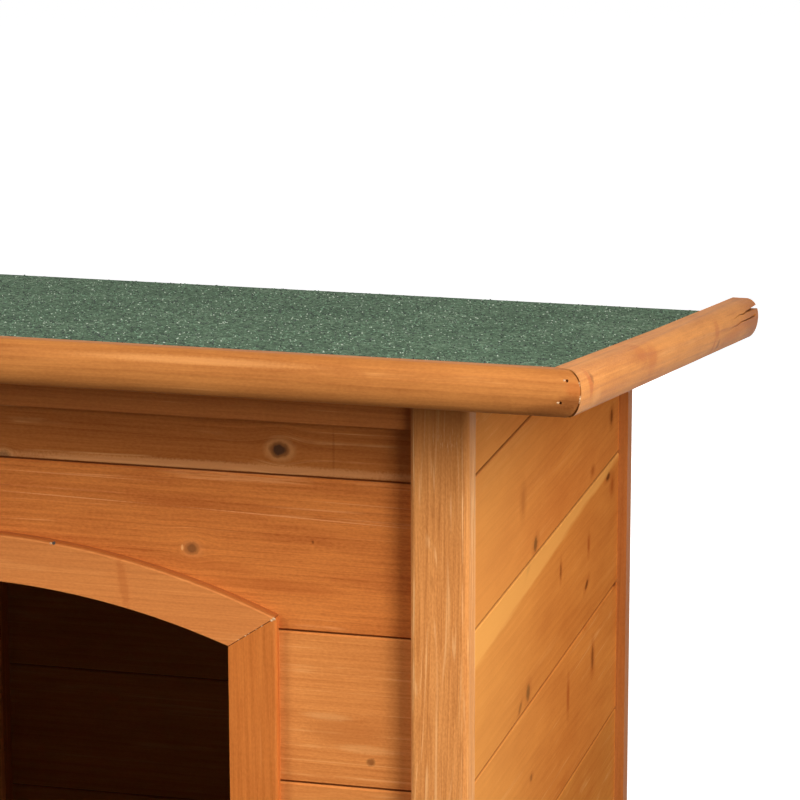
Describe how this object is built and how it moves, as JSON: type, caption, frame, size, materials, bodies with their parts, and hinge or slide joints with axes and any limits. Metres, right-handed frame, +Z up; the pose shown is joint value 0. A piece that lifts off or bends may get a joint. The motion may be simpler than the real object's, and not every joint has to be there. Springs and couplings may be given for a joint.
{
  "type": "dog house",
  "caption": "Wooden dog house with board walls, an off-centre arched doorway and a sloping felted roof that hinges open at the rear",
  "frame": {"origin": "under the middle of the whole box, on the plane of the feet", "axes": "+Z up; the doorway wall faces -Y; +X to the right seen from the front"},
  "size_m": [1.045, 0.6266, 0.6957],
  "materials": {
    "boards": "tongue and groove softwood, honey-brown stain, satin",
    "frame_wood": "planed softwood, honey-brown stain, satin",
    "inside_wood": "sawn softwood, thin stain, matte",
    "roof_felt": "bitumen felt with grey-green mineral granules",
    "feet_plastic": "moulded, fine texture",
    "zinc_steel": "bright zinc plate"
  },
  "bodies": {
    "house": {"front_board_1": "boards", "front_board_2_left": "boards", "front_board_2_right": "boards", "front_board_3_left": "boards", "front_board_3_right": "boards", "front_board_4_left": "boards", "front_board_4_right": "boards", "front_board_5_left": "boards", "front_board_5_right": "boards", "front_board_6": "boards", "front_board_7": "boards", "back_board_1": "boards", "back_board_2": "boards", "back_board_3": "boards", "back_board_4": "boards", "back_board_5": "boards", "back_board_6": "boards", "left_board_1": "boards", "left_board_2": "boards", "left_board_3": "boards", "left_board_4": "boards", "left_board_5": "boards", "left_board_6": "boards", "left_board_7": "boards", "right_board_1": "boards", "right_board_2": "boards", "right_board_3": "boards", "right_board_4": "boards", "right_board_5": "boards", "right_board_6": "boards", "right_board_7": "boards", "front_post_left": "frame_wood", "front_post_right": "frame_wood", "rear_post_left": "frame_wood", "rear_post_right": "frame_wood", "front_top_rail": "frame_wood", "rear_top_rail": "frame_wood", "door_jamb_left": "frame_wood", "door_jamb_right": "frame_wood", "door_arch": "frame_wood", "door_sill": "frame_wood", "corner_battens": "inside_wood", "wall_battens": "inside_wood", "floor_bearers": "inside_wood", "floor_boards": "inside_wood", "feet": "feet_plastic", "hinge_wall_leaves": "zinc_steel", "hinge_pins": "zinc_steel", "hinge_wall_screws": "zinc_steel", "stay_wall_stud": "zinc_steel"},
    "roof": {"roof_deck": "inside_wood", "roof_felt": "roof_felt", "roof_trim_front": "frame_wood", "roof_trim_left": "frame_wood", "roof_trim_right": "frame_wood", "roof_battens": "inside_wood", "hinge_roof_leaves": "zinc_steel", "hinge_roof_screws": "zinc_steel", "stay_roof_bracket": "zinc_steel"},
    "stay": {"stay_arm": "zinc_steel"}
  },
  "joints": [
    {"name": "roof_hinge", "type": "hinge", "parent": "house", "child": "roof", "pos_m": [0, 0.25808, 0.58678], "axis": [-1, 0, 0], "range_deg": [0, 75]},
    {"name": "stay_pivot", "type": "hinge", "parent": "roof", "child": "stay", "pos_m": [0.423, 0.08837, 0.60113], "axis": [-1, 0, 0], "range_deg": [-37.5, 0]}
  ],
  "couplings": [
    {"joint": "stay_pivot", "follows": "roof_hinge", "ratio": -0.5}
  ]
}
